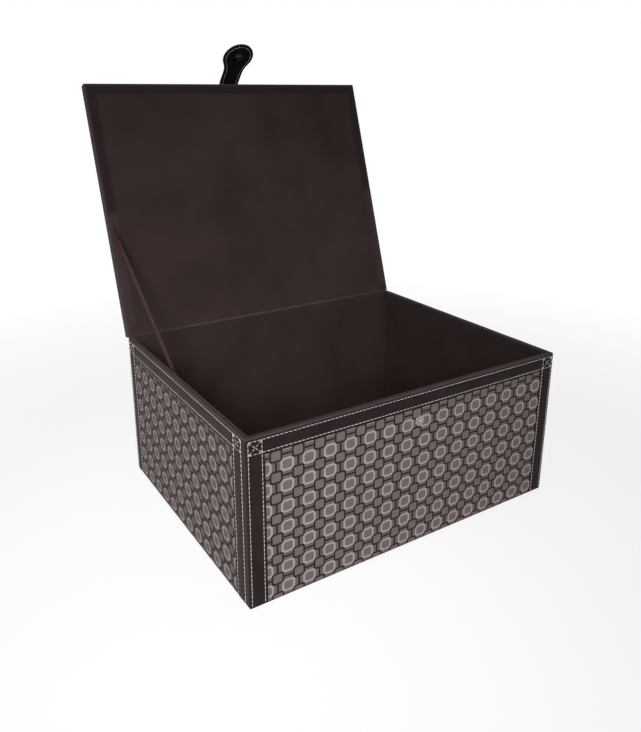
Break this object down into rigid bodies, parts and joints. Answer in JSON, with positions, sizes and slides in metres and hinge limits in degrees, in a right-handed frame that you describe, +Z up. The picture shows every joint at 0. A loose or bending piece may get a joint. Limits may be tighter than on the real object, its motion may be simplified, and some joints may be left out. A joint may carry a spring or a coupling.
{
  "type": "stationery box",
  "caption": "Rectangular lidded box for papers, with a flap lid on a leather hinge held open by a ribbon, and a tab that snaps shut over the front.",
  "frame": {"origin": "centre of the underside, on the surface that the box stands on", "axes": "+X along the front to the right as seen from the front, +Y from the front to the hinged back, +Z up; the rest pose has the lid open on its ribbon"},
  "size_m": [0.4, 0.4285, 0.525],
  "materials": {
    "board": "bare fibreboard, hidden inside the covers",
    "leather": "dark brown fine-grained leather, semi-matte",
    "patterned_cloth": "woven cloth with a grey-brown lattice of squares and octagons",
    "lining": "dark brown suede-like lining",
    "underside": "black felt paper",
    "ribbon": "brown satin ribbon",
    "metal": "nickel-plated snap fastener"
  },
  "bodies": {
    "box": {"base_board": "board", "front_board": "board", "back_board": "board", "left_board": "board", "right_board": "board", "front_panel": "patterned_cloth", "back_panel": "patterned_cloth", "left_panel": "patterned_cloth", "right_panel": "patterned_cloth", "front_band": "leather", "back_band": "leather", "left_band": "leather", "right_band": "leather", "corner_front_left": "leather", "corner_front_right": "leather", "corner_back_left": "leather", "corner_back_right": "leather", "front_lining": "lining", "back_lining": "lining", "left_lining": "lining", "right_lining": "lining", "floor_lining": "lining", "underside_sheet": "underside", "snap_stud": "metal", "stud_rivet": "metal", "ribbon_stay": "ribbon", "hinge_leather": "leather", "hinge_cloth": "lining"},
    "lid": {"lid_board": "board", "lid_panel": "patterned_cloth", "lid_front_band": "leather", "lid_back_band": "leather", "lid_left_band": "leather", "lid_right_band": "leather", "lid_lining": "lining", "tab_root": "leather"},
    "tab": {"tab_outer_ply": "leather", "tab_inner_ply": "leather", "snap_cap": "metal", "snap_socket": "metal"}
  },
  "joints": [
    {"name": "lid_hinge", "type": "hinge", "parent": "box", "child": "lid", "pos_m": [0, 0.1565, 0.17825], "axis": [1, 0, 0], "range_deg": [0, 108.4], "deforming": ["ribbon_stay", "hinge_leather", "hinge_cloth"]},
    {"name": "tab_bend", "type": "hinge", "parent": "lid", "child": "tab", "pos_m": [0, 0.26796, 0.47546], "axis": [1, 0, 0], "range_deg": [-92, 28]}
  ]
}
